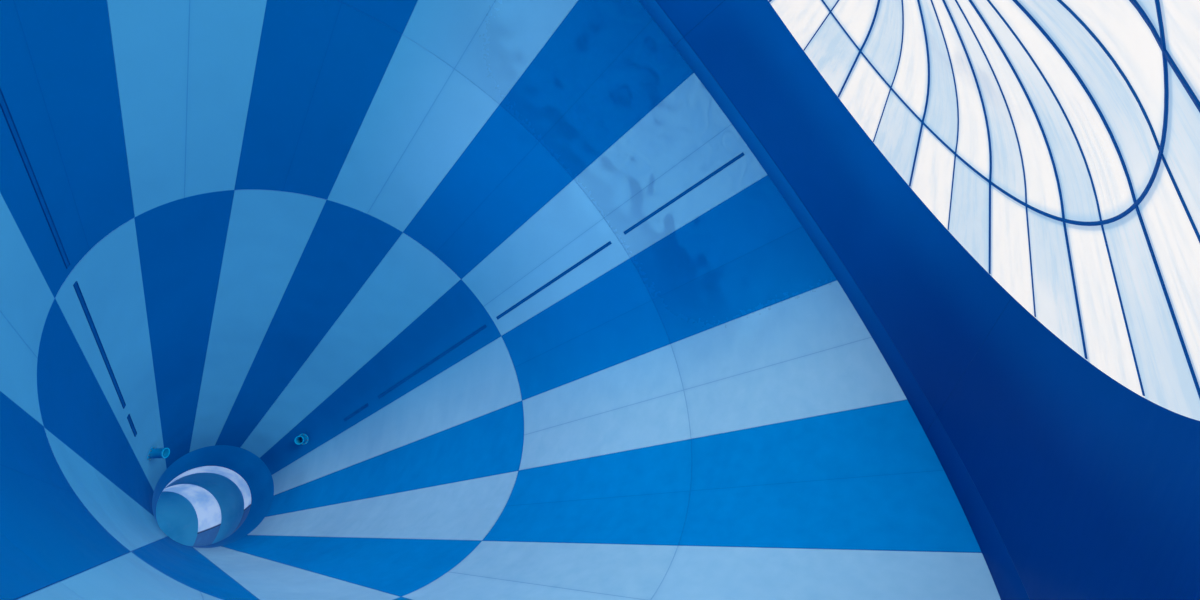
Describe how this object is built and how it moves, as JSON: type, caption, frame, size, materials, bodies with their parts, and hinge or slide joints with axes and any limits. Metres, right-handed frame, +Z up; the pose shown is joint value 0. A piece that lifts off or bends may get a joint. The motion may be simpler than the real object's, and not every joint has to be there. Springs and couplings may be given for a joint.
{
  "type": "closed funnel water slide",
  "caption": "Closed funnel raft slide: tilted cone of striped glass-fibre panels, domed translucent front, entry and exit tube stubs, steel ring beams on legs.",
  "frame": {"origin": "on the ground under the middle of the slide's bounding box", "axes": "+Z up, +X towards the domed front, with the funnel's axis in the XZ plane and tilted up 26.5 degrees towards +X"},
  "size_m": [32.1158, 18.9762, 21.1381],
  "materials": {
    "dark_panel": "glossy",
    "light_panel": "glossy",
    "navy_panel": "glossy",
    "translucent_panel": "satin",
    "teal_panel": "glossy",
    "galvanised_steel": "satin"
  },
  "bodies": {
    "root": {"outer_panel_01": "light_panel", "outer_panel_02": "dark_panel", "outer_panel_03": "light_panel", "outer_panel_04": "dark_panel", "outer_panel_05": "light_panel", "outer_panel_06": "dark_panel", "outer_panel_07": "light_panel", "outer_panel_08": "dark_panel", "outer_panel_09": "light_panel", "outer_panel_10": "dark_panel", "outer_panel_11": "light_panel", "outer_panel_12": "dark_panel", "outer_panel_13": "light_panel", "outer_panel_14": "dark_panel", "inner_panel_01": "dark_panel", "inner_panel_02": "light_panel", "inner_panel_03": "dark_panel", "inner_panel_04": "light_panel", "inner_panel_05": "dark_panel", "inner_panel_06": "light_panel", "inner_panel_07": "dark_panel", "inner_panel_08": "light_panel", "inner_panel_09": "dark_panel", "inner_panel_10": "light_panel", "inner_panel_11": "dark_panel", "inner_panel_12": "light_panel", "inner_panel_13": "dark_panel", "inner_panel_14": "light_panel", "front_cone_top": "navy_panel", "front_cone_right": "navy_panel", "front_cone_bottom": "navy_panel", "front_cone_left": "navy_panel", "dome_ring": "translucent_panel", "dome_cap": "translucent_panel", "throat_collar": "navy_panel", "exit_tube_1_upper": "translucent_panel", "exit_tube_1_lower": "navy_panel", "exit_tube_2": "teal_panel", "exit_tube_3_upper": "translucent_panel", "exit_tube_3_lower": "navy_panel", "exit_tube_4": "teal_panel", "spout_right": "teal_panel", "spout_left": "teal_panel", "entry_tube": "teal_panel", "mouth_hoop": "galvanised_steel", "middle_hoop": "galvanised_steel", "waist_hoop": "galvanised_steel", "throat_hoop": "galvanised_steel", "mouth_low_leg_right": "galvanised_steel", "mouth_low_leg_left": "galvanised_steel", "mouth_side_leg_right": "galvanised_steel", "mouth_side_leg_left": "galvanised_steel", "middle_side_leg_right": "galvanised_steel", "middle_side_leg_left": "galvanised_steel", "waist_side_leg_right": "galvanised_steel", "waist_side_leg_left": "galvanised_steel", "throat_side_leg_right": "galvanised_steel", "throat_side_leg_left": "galvanised_steel", "entry_leg": "galvanised_steel", "exit_leg": "galvanised_steel"}
  },
  "joints": []
}
